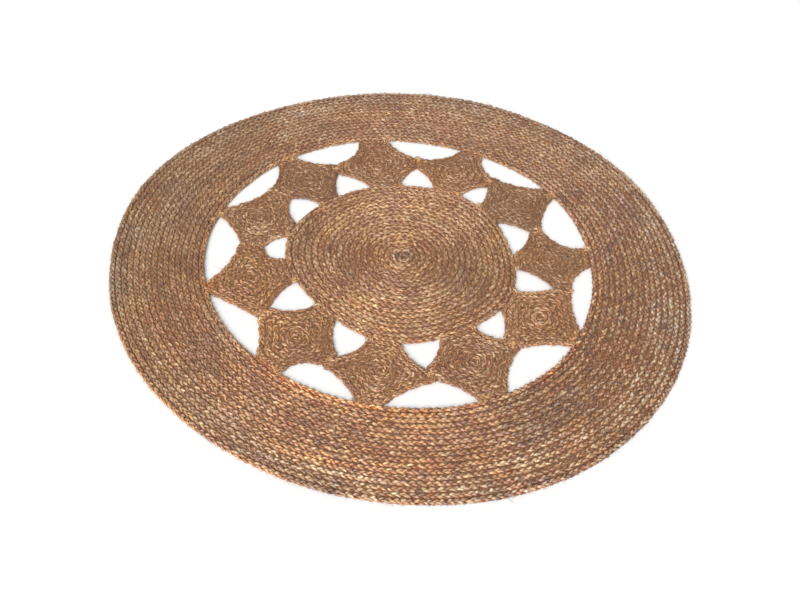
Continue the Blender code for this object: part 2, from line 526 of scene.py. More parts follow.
class NodeBench:
    """A new material with its shader, and short ways to add and join nodes."""

    def __init__(self, name: str) -> None:
        """Makes the material.

        Args:
            name: its name.
        """
        self.material = bpy.data.materials.new(name)
        self.material.use_nodes = True
        self.tree = self.material.node_tree
        self.shader = self.tree.nodes["Principled BSDF"]

    def fill(self, node: bpy.types.Node, sockets: dict) -> None:
        """Joins a node's inputs to other nodes' outputs, or sets them to plain values.

        Args:
            node: the node.
            sockets: outputs or plain values for its inputs, by name or number.
        """
        for title, value in sockets.items():
            if isinstance(value, bpy.types.NodeSocket):
                self.tree.links.new(value, node.inputs[title])
            else:
                node.inputs[title].default_value = value

    def add(self, kind: str, output: str, sockets: dict, **settings: str) -> bpy.types.NodeSocket:
        """Adds a node.

        Args:
            kind: what sort of node it is.
            output: name of the output that is wanted.
            sockets: outputs or plain values for its inputs, by name or number.
            settings: the node's own settings.

        Returns:
            The output.
        """
        node = self.tree.nodes.new(f"ShaderNode{kind}")
        for title, value in settings.items():
            setattr(node, title, value)
        self.fill(node, sockets)
        return node.outputs[output]

    def ranged(self, value: bpy.types.NodeSocket, low: float, high: float) -> bpy.types.NodeSocket:
        """Goes from 0 to 1 as the value goes from low to high."""
        return self.add("MapRange", "Result", {"Value": value, "From Min": low, "From Max": high})

    def between(self, share: bpy.types.NodeSocket, low: np.ndarray, high: np.ndarray) -> bpy.types.NodeSocket:
        """Goes from one colour to another as the share goes from 0 to 1."""
        sockets = {0: share, 1: tuple(high - low), 2: tuple(low)}
        return self.add("VectorMath", "Vector", sockets, operation="MULTIPLY_ADD")


@dataclass(frozen=True)
class Jute:
    """Rough jute fibre: base colours come from the piece, streaks and bump from its strand map."""

    name: str
    middle: Colour
    roughness: float = 0.42
    gloss: float = 0.9
    sheen: float = 0.05
    sheen_roughness: float = 0.5
    sheen_tint: Colour = (1.0, 0.86, 0.66)
    streak_contrast: float = 0.5
    streak_range: Range = (1.15, 1.85)
    fleck_range: Range = (0.68, 0.76)
    fleck_tone: float = 0.45
    bump_strength: float = 0.8
    bump_height: float = 0.6 * MM
    tone_patches: tuple[Patches, ...] = (Patches(0.09, 0.025), Patches(0.10, 0.07))
    warm_patches: tuple[Patches, ...] = (Patches(0.13, 0.022), Patches(0.15, 0.07))
    lime_patches: tuple[Patches, ...] = (Patches(0.035, 0.012), Patches(0.02, 0.03))
    fleck_patches: tuple[Patches, ...] = (Patches(1.0, 0.0055), Patches(0.35, 0.035))
    fleck_start: float = 0.55
    fleck_fade: float = 0.4
    fleck_limit: float = 0.5
    hue_fade: float = 0.8
    darker: float = 0.05
    slow_tone: Drift = Drift(0.10, 0.30)
    quick_tone: tuple[Drift, ...] = (Drift(0.14, 0.045), Drift(0.16, 0.014))
    strand_warmth: tuple[Drift, ...] = (Drift(0.08, 0.30), Drift(0.10, 0.06), Drift(0.08, 0.02))
    side_tone: Drift = Drift(0.20, 0.011)
    side_warmth: Drift = Drift(0.08, 0.012)
    most_tone: float = 0.7
    most_warmth: float = 0.5

    def toned(self, tone: np.ndarray, tint: np.ndarray) -> np.ndarray:
        """Colours of this jute: darker tones are redder and lighter ones paler.

        The middle colour is multiplied by the tone, raised to a power that grows from red to blue, and by the
        tint.

        Args:
            tone: brightness against the middle colour.
            tint: colour multipliers, with a last axis of three.

        Returns:
            Linear colours.
        """
        return np.clip(np.array(self.middle) * tone[..., None] ** TONE_POWERS * tint, 0.004, 0.95)

    def yarn(
        self,
        tubes: TubeBatch,
        tint: np.ndarray,
        rng: np.random.Generator,
        contrast: np.ndarray,
        flecks: np.ndarray,
    ) -> np.ndarray:
        """Colours of strands, which change in brightness and warmth by the patch, the strand and its sides.

        Each point's tone and warmth are sums of slow random values over the floor, along its strand and along
        its own side of the strand, held within limits. The tone's exponential is its brightness, and the
        warmth's turns the colour from grey cream to orange. The shade of the form is raised to a power that
        grows from red to blue.

        Args:
            tubes: the strands, with the shade of the braid's form as their colours.
            tint: colour multipliers at the tubes' points.
            rng: seeded source of random numbers.
            contrast: how much the tone changes along the strands, at the tubes' points.
            flecks: how dark the small clustered flecks are, at the tubes' points.

        Returns:
            Linear colours at the tubes' points.
        """
        places = tubes.places
        tone = layered(self.tone_patches, rng, places)
        warm = layered(self.warm_patches, rng, places)
        lime = layered(self.lime_patches, rng, places)
        for strand, along in enumerate(tubes.along):
            tone[strand] += self.slow_tone.at(rng, along)[:, None]
            tone[strand] += contrast[strand] * layered(self.quick_tone, rng, along)[:, None]
            warm[strand] += layered(self.strand_warmth, rng, along)[:, None]
            for side in range(places.shape[2]):
                tone[strand, :, side] += contrast[strand, :, side] * self.side_tone.at(rng, along)
                warm[strand, :, side] += self.side_warmth.at(rng, along)
        most = np.where(tone > 0, self.most_tone - self.fleck_limit * flecks, self.most_tone)
        tone = most * np.tanh(tone / most)
        warm = self.most_warmth * np.tanh(warm / self.most_warmth)
        hue = (warm[..., None] * WARM + lime[..., None] * LIME) * (1 - self.hue_fade * tone[..., None])
        cluster = layered(self.fleck_patches, rng, places)
        fleck = flecks * eased((cluster - self.fleck_start) / self.fleck_fade)
        hue = np.exp(hue + fleck[..., None] * FLECK)
        return self.toned(np.exp(tone - self.darker), tint * hue * tubes.colours**FORM_POWERS)

    def material(self) -> bpy.types.Material:
        """Makes the node material: fibre streaks along the strand, dark flecks, and bump from the streaks.

        Returns:
            The material.
        """
        bench = NodeBench(self.name)
        place = bench.add("UVMap", "UV", {}, uv_map=STRAND_MAP)

        def noise(along: float, round_it: float, detail: float) -> bpy.types.NodeSocket:
            """Noise with so many features to a metre along, and to one turn round, the strand."""
            stretched = bench.add("Mapping", "Vector", {"Vector": place, "Scale": (along, round_it, 1.0)})
            return bench.add("TexNoise", "Fac", {"Vector": stretched, "Scale": 1.0, "Detail": detail})

        fibres, fine, clumps = noise(85.0, 9.0, 3.0), noise(240.0, 24.0, 2.0), noise(170.0, 6.0, 1.0)
        pair = bench.add("Math", "Value", {0: fibres, 1: fine}, operation="ADD")
        streaks = bench.add("Math", "Value", {0: pair, 1: clumps}, operation="ADD")
        darkest, lightest = ((1 + turn * self.streak_contrast) ** TONE_POWERS for turn in (-1, 1))
        streaked = bench.between(bench.ranged(streaks, *self.streak_range), darkest, lightest)
        clear, fleck = np.ones(3), np.full(3, self.fleck_tone)
        dark = bench.between(bench.ranged(noise(38.0, 5.0, 1.0), *self.fleck_range), clear, fleck)
        base = bench.add("Attribute", "Color", {}, attribute_name=COLOUR_LAYER)
        coloured = bench.add("VectorMath", "Vector", {0: base, 1: streaked}, operation="MULTIPLY")
        flecked = bench.add("VectorMath", "Vector", {0: coloured, 1: dark}, operation="MULTIPLY")
        height = {"Height": streaks, "Strength": self.bump_strength, "Distance": self.bump_height}
        looks = {
            "Base Color": flecked,
            "Normal": bench.add("Bump", "Normal", height),
            "Roughness": self.roughness,
            "Specular IOR Level": self.gloss,
            "Sheen Weight": self.sheen,
            "Sheen Roughness": self.sheen_roughness,
            "Sheen Tint": (*self.sheen_tint, 1.0),
        }
        bench.fill(bench.shader, looks)
        return bench.material


@dataclass(frozen=True)
class PaintedShadeInnerJute:
    """The inner turns of the braid, seen only in the small openings between strands, in dark browns of
    painted shade.
    """

    name: str = "inner_jute_painted_shade"
    dark: Colour = (0.085, 0.037, 0.015)
    pale: Colour = (0.27, 0.135, 0.058)
    roughness: float = 0.95
    grain: float = 240.0
    grain_range: Range = (0.35, 0.7)
    bump_height: float = 0.6 * MM

    def material(self) -> bpy.types.Material:
        """Makes the node material: two browns mixed by noise on Object coordinates.

        Returns:
            The material.
        """
        bench = NodeBench(self.name)
        place = bench.add("TexCoord", "Object", {})
        noise = bench.add("TexNoise", "Fac", {"Vector": place, "Scale": self.grain, "Detail": 3.0})
        share = bench.ranged(noise, *self.grain_range)
        colour = bench.between(share, np.array(self.dark), np.array(self.pale))
        bump = bench.add("Bump", "Normal", {"Height": noise, "Distance": self.bump_height})
        bench.fill(bench.shader, {"Base Color": colour, "Normal": bump, "Roughness": self.roughness})
        return bench.material


# ---------------------------------------------------------------- the braid


class BraidPath(NamedTuple):
    """The middle line of a wound braid: its points, outward directions, half-widths and turns made."""

    points: np.ndarray
    outward: np.ndarray
    half_width: np.ndarray
    turns: np.ndarray


@dataclass(frozen=True)
class Plait:
    """A flat three-strand braid."""

    period: float = 40 * MM
    steps: int = 9
    sides: int = 6
    strand_half_width: float = 2.75 * MM
    strand_half_height: float = 2.4 * MM
    rise: float = 2.1 * MM
    # Painted shade: brightness at mid-height between the strands, and at the row's sides between rows.
    groove: float = 0.60
    seam: float = 0.80
    ground: float = 5.8 * MM
    loosening: float = 0.0
    lumps: float = 0.45 * MM
    lumps_from: float = 0.3
    swell_least: float = 0.88
    swell_gain: float = 0.2
    fullness: float = 1.04
    least_share: float = 0.02
    most_share: float = 1.25
    lowest: float = 0.1 * MM
    face_height: float = 3.9 * MM
    # Painted light: brightness a little over 1 at the strands' upper and lower faces.
    face_shade: float = 1.06
    seam_from: float = 0.6
    uneven_pitch: Drift = Drift(0.9, 0.11)
    uneven_turn: Drift = Drift(0.22, 0.025)
    uneven_reach: Drift = Drift(0.06, 0.02)
    uneven_strand: Drift = Drift(0.14, 0.013)
    sway: Drift = Drift(0.35 * MM, 0.05)
    lift: Drift = Drift(0.3 * MM, 0.09)

    @property
    def step(self) -> float:
        """Distance between the rings of a strand."""
        return self.period / self.steps

    def strands(self, path: BraidPath, rng: np.random.Generator) -> TubeBatch:
        """Plaits three strands along a path.

        A strand lies across the braid by its reach times the sine of its turn, and above mid-height by the
        rise times the sine of twice its turn, and the three turns are a third of a circle apart. Slow random
        values vary the pitch, the reach, the strands' thickness, the height and the braid's place.

        Args:
            path: the braid's middle line.
            rng: seeded source of random numbers.

        Returns:
            The strands, with colours that hold only the shade of the braid's form.
        """
        along = np.arange(len(path.points)) * self.step
        share = np.clip(path.half_width / (BRAID_WIDTH / 2), self.least_share, self.most_share)
        full = np.minimum(share, 1.0)
        period = self.period * (1 + self.loosening * (1 - along / along[-1]))
        pitch = TAU * np.cumsum(self.step / period) + self.uneven_pitch.at(rng, along)
        sway = self.sway.at(rng, along) * full
        lift = self.lift.at(rng, along)
        paths, swells = [], []
        for strand in range(3):
            turn = pitch + TAU * strand / 3 + self.uneven_turn.at(rng, along)
            swell = self.swell_least + self.swell_gain * np.abs(np.sin(2 * turn))
            swell = swell * (1 + self.uneven_strand.at(rng, along))
            width = self.strand_half_width * share * swell
            reach = path.half_width * (self.fullness + self.uneven_reach.at(rng, along))
            reach = np.maximum(reach - width, 0)
            flat = path.points + path.outward * (reach * np.sin(turn) + sway)[:, None]
            paths.append(raised(flat, MID_HEIGHT + self.rise * full * np.sin(2 * turn) + lift))
            swells.append(swell)
        widths = self.strand_half_width * share * np.array(swells)
        heights = self.strand_half_height * full * np.array(swells)
        tubes = TubeBatch.round_paths(np.array(paths), widths, heights, self.sides)
        lumps = self.lumps * (share > self.lumps_from)
        tubes.places += rng.normal(size=tubes.places.shape) * lumps[:, None, None]
        tubes.places[..., 2] = np.maximum(tubes.places[..., 2], self.lowest)
        # The colours start as the painted shade of the braid's form.
        tubes.colours *= self.form_shade(tubes, path)[..., None]
        return tubes

    def form_shade(self, tubes: TubeBatch, path: BraidPath) -> np.ndarray:
        """Painted shade and light: dark at mid-height between the strands and at the row's sides between
        rows, and a little over 1 at both faces.

        Args:
            tubes: the strands.
            path: the braid's middle line.

        Returns:
            Brightness multipliers at the tubes' points.
        """
        from_middle = np.abs(tubes.places[..., 2] - MID_HEIGHT) / self.face_height
        aside = ((tubes.places[..., :2] - path.points[:, None]) * path.outward[:, None]).sum(-1)
        to_side = np.abs(aside) / np.maximum(path.half_width[:, None], 1 * MM)
        painted_light_and_shade = self.groove + (self.face_shade - self.groove) * eased(from_middle)
        at_side = eased((to_side - self.seam_from) / (1 - self.seam_from))
        return painted_light_and_shade * (1 - (1 - self.seam) * at_side)


# ---------------------------------------------------------------- patches of other colours


class Spot(NamedTuple):
    """A patch of another colour on the rug: degrees round it, then parts of its radius, then multipliers."""

    angle: float
    radius: float
    length: float
    width: float
    red: float
    green: float
    blue: float


SPOTS = (
    # angle, radius, length, width, red, green, blue
    Spot(242, 0.690, 0.10, 0.040, 1.45, 1.48, 1.52),
    Spot(309, 0.798, 0.22, 0.050, 0.70, 0.70, 0.71),
    Spot(261, 0.972, 0.10, 0.045, 0.72, 0.70, 0.68),
    Spot(305, 0.690, 0.10, 0.050, 0.72, 0.76, 0.84),
    Spot(198, 0.972, 0.10, 0.050, 0.75, 0.75, 0.75),
    Spot(166, 0.810, 0.40, 0.050, 0.80, 0.77, 0.72),
    Spot(70, 0.972, 0.40, 0.050, 0.76, 0.79, 0.84),
    Spot(68, 0.690, 0.40, 0.050, 0.83, 0.82, 0.81),
    Spot(2, 0.972, 0.10, 0.050, 1.28, 1.32, 1.38),
    Spot(272, 0.876, 0.22, 0.050, 1.20, 1.20, 1.20),
    Spot(168, 0.370, 0.10, 0.050, 0.72, 0.75, 0.80),
    Spot(103, 0.370, 0.10, 0.050, 0.78, 0.82, 0.88),
    Spot(343, 0.250, 0.10, 0.080, 0.75, 0.76, 0.78),
    Spot(264, 0.675, 0.05, 0.012, 1.25, 1.10, 0.75),
    Spot(200, 0.680, 0.04, 0.015, 1.25, 1.05, 0.75),
    Spot(350, 0.690, 0.05, 0.012, 1.20, 1.05, 0.75),
    Spot(258, 0.897, 0.16, 0.010, 1.38, 1.17, 0.72),
    Spot(315, 0.680, 0.12, 0.012, 1.18, 1.10, 0.85),
    Spot(258, 0.830, 0.05, 0.012, 0.60, 0.60, 0.70),
    Spot(307, 0.830, 0.10, 0.012, 0.65, 0.65, 0.72),
    Spot(213, 0.700, 0.16, 0.010, 0.70, 0.66, 0.68),
    Spot(322, 0.705, 0.28, 0.010, 0.72, 0.68, 0.70),
    Spot(247, 0.960, 0.10, 0.014, 0.72, 0.72, 0.78),
    Spot(231, 0.930, 0.08, 0.010, 0.74, 0.72, 0.78),
    # A painted highlight: the lit creamy rim of the outer edge at the front left.
    Spot(225, 0.992, 0.42, 0.010, 1.42, 1.38, 1.30),
    Spot(266, 0.925, 0.06, 0.009, 1.24, 1.28, 1.34),
    Spot(270, 0.690, 0.60, 0.012, 1.20, 1.28, 1.24),
    Spot(318, 0.900, 0.14, 0.012, 1.08, 1.14, 1.22),
    Spot(300, 0.855, 0.07, 0.008, 0.66, 0.64, 0.72),
    Spot(284, 0.845, 0.05, 0.008, 0.62, 0.60, 0.68),
    Spot(188, 0.960, 0.03, 0.012, 0.60, 0.58, 0.66),
    Spot(178, 0.790, 0.02, 0.012, 0.62, 0.62, 0.72),
    Spot(173, 0.740, 0.02, 0.010, 0.60, 0.60, 0.70),
)


def spotted(points: np.ndarray) -> np.ndarray:
    """Colour multipliers of the table's patches, each one fading as a bell curve along and across its row.

    Args:
        points: places on the rug.

    Returns:
        Multipliers with a last axis of three.
    """
    angle, radius = polar(points)
    tint = np.ones((*radius.shape, 3))
    for spot in SPOTS:
        apart = np.radians((np.degrees(angle) - spot.angle + 180) % 360 - 180) * spot.radius
        near = hump(apart, 0, spot.length) * hump(radius / RUG_RADIUS, spot.radius, spot.width)
        tint *= blended(near, (spot.red, spot.green, spot.blue))
    return tint


class Seam(NamedTuple):
    """A place where two pieces touch: its point, the direction across it, its half-length and its gold."""

    point: np.ndarray
    across: np.ndarray
    half_length: float
    gold: float


def gilded(points: np.ndarray, seams: list[Seam]) -> np.ndarray:
    """Colour multipliers of the golden patches round the seams, fading as bell curves.

    Args:
        points: places on the rug.
        seams: where the pieces are sewn together.

    Returns:
        Multipliers with a last axis of three.
    """
    tint = np.ones((*points.shape[:-1], 3))
    for seam in seams:
        away = points - seam.point
        near = hump(away @ seam.across, 0, SEAM_LENGTH) * hump(away @ leftwards(seam.across), 0, SEAM_WIDTH)
        tint *= blended(seam.gold * near, SEAM_GOLD)
    return tint


class Band(NamedTuple):
    """Rows of another brightness and warmth: a bell curve about a radius, in parts of the rug's."""

    radius: float
    width: float
    brightness: float = 0.0
    warmth: float = 0.0

    def at(self, radius: np.ndarray) -> np.ndarray:
        """Colour multipliers at these radii."""
        near = hump(radius, self.radius, self.width)
        return shaded(self.brightness * near, self.warmth * near)


class Stripe(NamedTuple):
    """Rows of another colour: a bell curve about a radius, in parts of the rug's."""

    radius: float
    width: float
    colour: Colour

    def at(self, radius: np.ndarray) -> np.ndarray:
        """Colour multipliers at these radii."""
        return blended(hump(radius, self.radius, self.width), self.colour)


class Wash(NamedTuple):
    """A colour that comes in from one radius to another, in parts of the rug's."""

    start: float
    full: float
    colour: Colour

    def at(self, radius: np.ndarray) -> np.ndarray:
        """Colour multipliers at these radii."""
        return blended(eased((radius - self.start) / (self.full - self.start)), self.colour)


# ---------------------------------------------------------------- sub-assemblies


@dataclass(kw_only=True)
class WoundPart:
    """A part of the rug: braid wound outwards, one row further out for each turn, over flat inner turns.

    Its rows are counted from the middle or from its inner edge. Where the winding meets a smooth edge, its
    last row is eased away over a stretch of the turn. The braid is split into pieces at its joins.
    """

    title: str
    node: str
    slot: Slot
    seed: int
    finish: Jute
    plait: Plait
    turns: Range
    start: float = 0.0
    stretch: float = 35 / 360
    softening: float = 0.0
    joins: tuple[float, ...] = ()
    directions: int = 360
    brightness: Waves = Waves()
    warmth: Waves = Waves()
    contrast: Waves = Waves(1.0)
    flecks: Waves = Waves()
    depth: Waves = Waves(1.0)
    bands: tuple[Band | Stripe | Wash, ...] = ()

    def __post_init__(self) -> None:
        """Reads the outline of the CAD node."""
        self.outside = Outline.of_node(self.node, np.zeros(2))
        self.outlines = [self.outside]

    def eased_row(self, angle: np.ndarray, end: float) -> np.ndarray:
        """Row coordinate of a smooth edge: it grows by one in each turn, and eases back to nought at its end.

        Args:
            angle: directions, in radians.
            end: the direction in which the braid ends, in radians.

        Returns:
            The edge's row coordinates, from 0 to 1.
        """
        turned = ((angle - end) / TAU) % 1.0
        return turned * (1 - eased((turned - (1 - self.stretch)) / self.stretch))

    def limits(self, angle: np.ndarray) -> tuple[np.ndarray, np.ndarray]:
        """Row coordinates of the middle and of the outer edge in these directions."""
        last = self.turns[1]
        return np.zeros_like(angle), last + self.eased_row(angle, self.start + TAU * last)

    def place(self, angle: np.ndarray, row: np.ndarray) -> np.ndarray:
        """Points of a row: an even spiral, plus what the outline differs by, growing as the share's cube.

        Args:
            angle: directions, in radians.
            row: row coordinates, counted outwards.

        Returns:
            The points, as seen from above.
        """
        edge = self.limits(angle)[1]
        differs = self.outside.at(angle) - BRAID_WIDTH * edge
        return on_circle(angle, BRAID_WIDTH * row + differs * (row / edge) ** 3)

    def path(self, points_per_turn: int = 1440) -> BraidPath:
        """Winds the braid outwards.

        The row's inner side lies at the turns made and its outer side at one more, both cut to the part's
        limits. The middle line runs halfway between them, and the half-width is measured square to it.

        Args:
            points_per_turn: how finely the winding is worked out before it is divided evenly.

        Returns:
            The path, with points at equal distances and its corners rounded off over the softening's length.
        """
        first, last = self.turns
        made = np.linspace(first, last, int((last - first) * points_per_turn) + 2)
        angle = self.start + TAU * made
        low, high = self.limits(angle)
        inner, outer = np.clip(made, low, high), np.clip(made + 1, low, high)
        middle = self.place(angle, (inner + outer) / 2)
        span = self.place(angle, outer) - self.place(angle, inner)
        table = np.concatenate([middle, span, made[:, None]], 1)
        distance = np.concatenate([[0], np.cumsum(np.linalg.norm(np.diff(middle, axis=0), axis=1))])
        even = np.linspace(0, distance[-1], int(distance[-1] / self.plait.step) + 1)
        table = np.stack([np.interp(even, distance, column) for column in table.T], -1)
        middle, span, made = table[:, :2], table[:, 2:4], table[:, 4]
        if self.softening:
            reach = int(3 * self.softening / self.plait.step) + 1
            weight = hump(np.arange(-reach, reach + 1) * self.plait.step, 0, self.softening)
            padded = np.pad(middle, ((reach, reach), (0, 0)), mode="reflect", reflect_type="odd")
            weight = weight / weight.sum()
            middle = np.stack([np.convolve(column, weight, "valid") for column in padded.T], -1)
        outward = -leftwards(unit(np.gradient(middle, axis=0)))
        return BraidPath(middle, outward, np.abs((span * outward).sum(1)) / 2, made)

    def tint(self, places: np.ndarray, groove: np.ndarray, seams: list[Seam]) -> np.ndarray:
        """The part's brightness and warmth by direction (painted light and shade on the ring and the disc),
        its bands, its rims' painted light, the patches and the golden seams.

        Args:
            places: the strands' points.
            groove: brightness of the painted groove shade there.
            seams: where the pieces are sewn together.

        Returns:
            Colour multipliers at the points.
        """
        flat = places[..., :2]
        angle, radius = polar(flat)
        tint = shaded(self.brightness.at(angle), self.warmth.at(angle)) * spotted(flat) * gilded(flat, seams)
        for band in self.bands:
            tint *= band.at(radius / RUG_RADIUS)
        # Painted light on the open rims, which also takes the painted groove shade off them.
        for outline in self.outlines:
            tint *= outline.rim_painted_light(places, groove)
        return tint

    def layer_edges(self, angle: np.ndarray, around: list[Outline]) -> tuple[np.ndarray, np.ndarray]:
        """Inner and outer points of the inner turns: a small hole in the middle, and the outline drawn in."""
        hole = self.outside.centre + on_circle(angle, np.full_like(angle, LAYER_HOLE))
        return hole, self.outside.tucked(angle, around)

    def cut_size(self) -> tuple[tuple[float, float], float]:
        """Width and length of the inner turns laid flat, and their area, as a circle of the mean radius."""
        radius = float(self.outside.radii.mean() - LAYER_INSET)
        return (2 * radius, 2 * radius), np.pi * radius**2

    def build(
        self,
        around: list[Outline],
        seams: list[Seam],
        look: bpy.types.Material,
        deep: bpy.types.Material,
    ) -> TubeBatch:
        """Makes the part's rows of braid and its inner turns.

        Args:
            around: outlines of the parts that it is sewn to.
            seams: where the pieces are sewn together.
            look: finish of the braid.
            deep: finish of the inner turns, dark as painted shade.

        Returns:
            The strands, for the loose fibres to start from.
        """
        rng = np.random.default_rng(self.seed)
        path = self.path()
        tubes = self.plait.strands(path, rng)
        angle = polar(tubes.places)[0]
        # The painted shade of the braid's form, deepened or eased by direction.
        depth = self.depth.at(angle)
        tubes.colours **= depth[..., None]
        tint = self.tint(tubes.places, self.plait.groove**depth, seams)
        tubes.colours = self.finish.yarn(tubes, tint, rng, self.contrast.at(angle), self.flecks.at(angle))
        ends = [0, *np.searchsorted(path.turns, self.joins).tolist(), len(path.turns) - 1]
        for number, (first, last) in enumerate(zip(ends[:-1], ends[1:]), 1):
            name = f"{self.title}_braid" + (f"_{number}" if self.joins else "")
            add_piece(tubes.cut(first, last).mesh(name), look)
        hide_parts(self.node)
        edges = self.layer_edges(TAU * np.arange(self.directions) / self.directions, around)
        mesh = layer_mesh(f"{self.title}_inner_turns", *edges, self.plait.ground)
        ground = add_piece(mesh, deep)
        flat, area = self.cut_size()
        return tubes


@dataclass(kw_only=True)
class OuterRing(WoundPart):
    """The wide ring: braid wound outside the squares, in sixteen to seventeen rows."""

    title: str = "ring"
    node: str = "outer_ring"
    slot: Slot = Slot.RING
    seed: int = 11
    turns: Range = (-35 / 360, 16.5)
    start: float = np.radians(250)
    joins: tuple[float, ...] = (4.6, 8.9, 12.9)
    directions: int = 720
    between: float = 0.5
    # Painted light and shade by direction: lighter at the front, darker on the left and at the back.
    brightness: Waves = Waves(-0.060, 0.075, -0.180, -0.095, 0.02)
    warmth: Waves = Waves(-0.005, -0.027, -0.070, -0.035, 0.03)
    contrast: Waves = Waves(1.06, 0.18, -0.16, -0.08, -0.07)
    flecks: Waves = Waves(0.42, 0.18, -0.18)
    # How deep the painted groove shade is by direction: deepest on the right and at the front, least on the
    # left.
    depth: Waves = Waves(1.50, 0.70, -0.25, 0.0, -0.20)
    bands: tuple[Band | Stripe | Wash, ...] = (
        Wash(0.84, 0.92, (0.97, 1.075, 1.19)),
        Wash(0.70, 0.685, (1.15, 1.12, 1.05)),
        Stripe(0.755, 0.045, (0.96, 0.90, 0.88)),
        Band(0.925, 0.012, 0.08),
        Band(0.875, 0.02, 0.04),
        Band(0.795, 0.025, -0.05),
    )

    def __post_init__(self) -> None:
        """Reads both outlines of the CAD node, which lie to either side of the radius between them."""
        self.outside = Outline.of_node(self.node, np.zeros(2), nearest=self.between)
        self.inside = Outline.of_node(self.node, np.zeros(2), furthest=self.between, side=-1)
        self.outlines = [self.outside, self.inside]

    def limits(self, angle: np.ndarray) -> tuple[np.ndarray, np.ndarray]:
        """Row coordinates of the ring's inner and outer edges in these directions."""
        return self.eased_row(angle, self.start), super().limits(angle)[1]

    def place(self, angle: np.ndarray, row: np.ndarray) -> np.ndarray:
        """Points of a row: its share of the way between the edges, in rows, is its share in distance.

        Args:
            angle: directions, in radians.
            row: row coordinates, counted outwards.

        Returns:
            The points, as seen from above.
        """
        low, high = self.limits(angle)
        near, far = self.inside.at(angle), self.outside.at(angle)
        return on_circle(angle, near + (far - near) * (row - low) / (high - low))

    def layer_edges(self, angle: np.ndarray, around: list[Outline]) -> tuple[np.ndarray, np.ndarray]:
        """Inner and outer points of the inner turns: both outlines drawn into the braid."""
        return self.inside.tucked(angle, around), self.outside.points(angle, LAYER_INSET)

    def cut_size(self) -> tuple[tuple[float, float], float]:
        """Width and length of the rug, and the area between circles of the outlines' mean radii."""
        inner = float(self.inside.radii.mean() + LAYER_INSET)
        return (2 * RUG_RADIUS, 2 * RUG_RADIUS), super().cut_size()[1] - np.pi * inner**2


@dataclass(kw_only=True)
class CentreDisc(WoundPart):
    """The solid middle: braid wound in a spiral of about twenty rows."""

    title: str = "disc"
    node: str = "centre_disc"
    slot: Slot = Slot.DISC
    seed: int = 12
    turns: Range = (-0.15, 19.35)
    start: float = np.radians(40)
    # Painted light and shade by direction: lighter at the front and back, darker on the left and right.
    brightness: Waves = Waves(-0.09, -0.03, -0.01, -0.12)
    warmth: Waves = Waves(0.01, -0.03, -0.01, 0.0, -0.01)
    contrast: Waves = Waves(1.1)
    bands: tuple[Band | Stripe | Wash, ...] = (
        Stripe(0.0, 0.045, (0.80, 0.78, 0.80)),
        Stripe(0.275, 0.05, (1.06, 1.08, 1.08)),
        Band(0.075, 0.03, 0.12),
        Band(0.285, 0.02, 0.08),
        Band(0.0, 0.032, -0.25),
        Band(0.040, 0.010, -0.10),
        Band(0.140, 0.012, -0.08),
        Band(0.213, 0.012, -0.12),
        Band(0.070, 0.045, warmth=0.12),
        Band(0.0, 0.028, warmth=-0.08),
    )


@dataclass(kw_only=True)
class HollowSquare(WoundPart):
    """A small square with hollow sides, wound from a round middle in about six rows."""

    slot: Slot = Slot.SQUARE
    turns: Range = (-0.38, 5.9)
    stretch: float = 60 / 360
    softening: float = 2.0 * MM
    directions: int = 144

    def __post_init__(self) -> None:
        """Reads the outline of the CAD node, and finds its corners, at the last of which the braid ends."""
        low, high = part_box(self.node)
        self.size = (high.x - low.x, high.y - low.y)
        self.centre = np.array([(low.x + high.x) / 2, (low.y + high.y) / 2])
        self.outside = Outline.of_node(self.node, self.centre)
        self.outlines = [self.outside]
        away = float(polar(self.centre)[0])
        self.corners = [self.outside.corner(away + turn * np.pi / 2) for turn in range(4)]
        self.start = self.corners[3] - TAU * self.turns[1]

    def corner_point(self, which: int) -> np.ndarray:
        """A corner's place on the rug: 0 is the outermost, and the others follow anticlockwise."""
        return self.outside.points(np.array(self.corners[which]))

    def place(self, angle: np.ndarray, row: np.ndarray) -> np.ndarray:
        """Points of a row: round in the middle, and more like the outline the further out it is.

        Args:
            angle: directions, in radians.
            row: row coordinates, counted outwards.

        Returns:
            The points, as seen from above.
        """
        edge, most = self.limits(angle)[1], self.turns[1] + 0.5
        share = row / most + (1 - edge / most) * (row / edge) ** 3
        like = 1 - (1 - np.clip(share, 0, 1)) ** 2
        radius = share * ((1 - like) * self.outside.radii.min() + like * self.outside.at(angle))
        return self.centre + on_circle(angle, radius)

    def cut_size(self) -> tuple[tuple[float, float], float]:
        """Width and length of the CAD node, and the area inside its outline drawn in by the inset."""
        radius = self.outside.at(TAU * np.arange(720) / 720) - LAYER_INSET
        return self.size, np.pi * float(np.mean(radius**2))


SQUARE_TONES = (
    # brightness, warmth and contrast of squares 1 to 11
    (0.64, 0.01, 1.6),
    (0.85, 0.08, 1.0),
    (0.85, 0.07, 1.0),
    (0.70, 0.11, 1.4),
    (0.83, 0.07, 1.3),
    (0.91, 0.21, 1.0),
    (0.94, 0.16, 1.0),
    (1.00, 0.03, 1.0),
    (0.90, -0.14, 1.0),
    (0.94, 0.13, 0.5),
    (0.70, 0.31, 1.0),
)


# ---------------------------------------------------------------- thread and loose fibre


def seams_of(squares: list[HollowSquare], rng: np.random.Generator) -> list[Seam]:
    """Lists each square's seams with the ring, with the next square and with the disc.

    Args:
        squares: the squares in order round the rug.
        rng: seeded source of random numbers.

    Returns:
        Three seams for each square.
    """
    found = []
    for square, after in zip(squares, squares[1:] + squares[:1]):
        outward = unit(square.centre)
        beside = unit(after.centre - square.centre)
        side_point = (square.corner_point(1) + after.corner_point(3)) / 2
        found.append(Seam(square.corner_point(0), outward, 8.0 * MM, rng.uniform(0.5, 1.0)))
        found.append(Seam(side_point, beside, 4.5 * MM, rng.uniform(0.4, 1.0)))
        found.append(Seam(square.corner_point(2), -outward, 8.0 * MM, rng.uniform(0.4, 1.0)))
    return found


